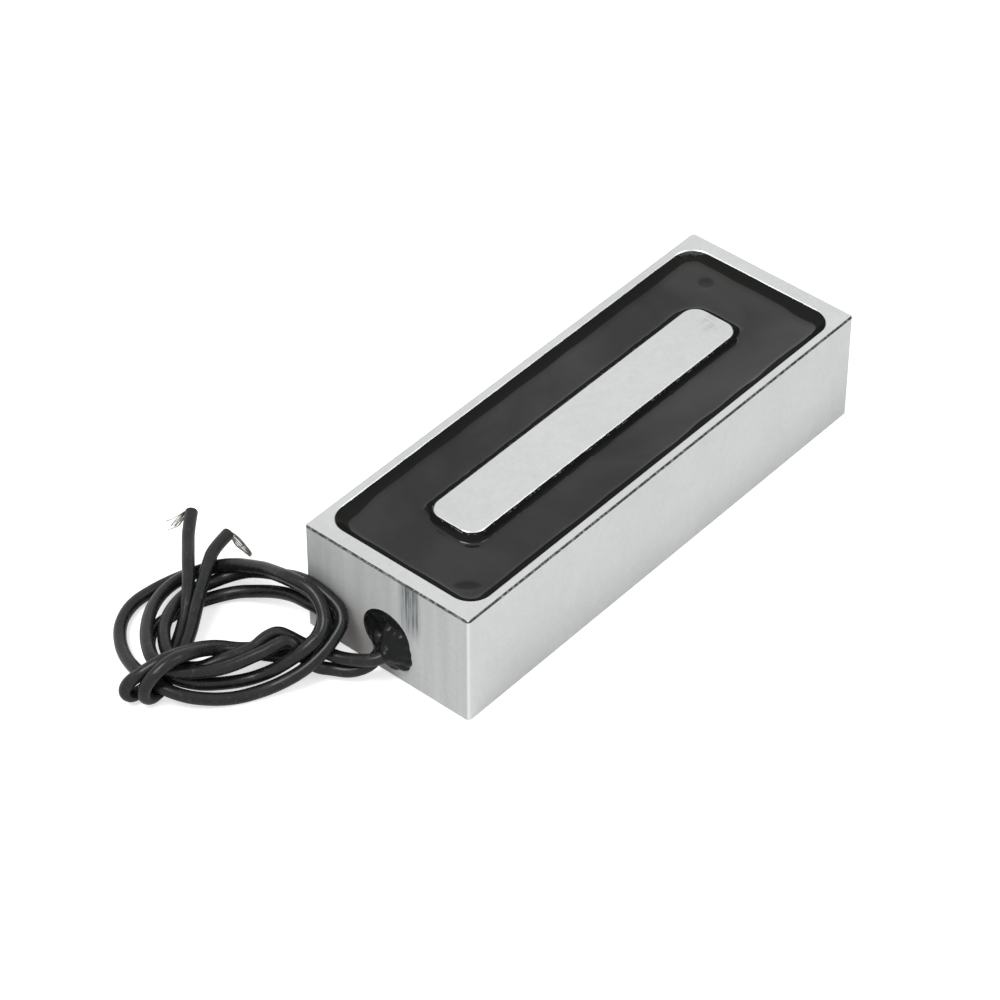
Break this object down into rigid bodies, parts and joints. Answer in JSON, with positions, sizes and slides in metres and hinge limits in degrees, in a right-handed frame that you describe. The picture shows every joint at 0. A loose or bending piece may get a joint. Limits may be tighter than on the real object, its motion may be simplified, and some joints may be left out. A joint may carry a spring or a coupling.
{
  "type": "holding electromagnet",
  "caption": "Rectangular holding electromagnet: steel bar body with a potted racetrack coil round a flush centre pole, and black flying leads in a loose tied coil from one end.",
  "frame": {"origin": "centre of the steel block's back, which is the mounting face it lies on", "axes": "+Z from the back to the holding face, +X along the block away from the end wall that the leads leave, +Y across the block towards the side on which the leads' coil lies"},
  "size_m": [0.1352, 0.0656, 0.022],
  "materials": {
    "plated_steel": "ground and dull nickel plated",
    "nylon": "moulded, natural",
    "enamelled_copper": "enamelled copper wire",
    "tape": "polyester film tape",
    "solder": "soldered, dull",
    "shrink_sleeve": "shrunk, satin",
    "insulation": "satin black PVC",
    "resin": "cast, satin gloss",
    "sealant": "cured, smeared",
    "tinned_copper": "tinned strands"
  },
  "bodies": {
    "root": {"yoke": "plated_steel", "coil_bobbin": "nylon", "copper_winding": "enamelled_copper", "winding_tape": "tape", "winding_start_tail": "enamelled_copper", "winding_finish_tail": "enamelled_copper", "lead_a_splice": "solder", "lead_b_splice": "solder", "lead_a_sleeve": "shrink_sleeve", "lead_b_sleeve": "shrink_sleeve", "lead_a_inner": "insulation", "lead_b_inner": "insulation", "potting_resin": "resin", "exit_sealant": "sealant", "lead_a_run": "insulation", "lead_b_run": "insulation", "lead_coil": "insulation", "lead_a_end": "insulation", "lead_b_end": "insulation", "lead_a_strands": "tinned_copper", "lead_b_strands": "tinned_copper"}
  },
  "joints": []
}
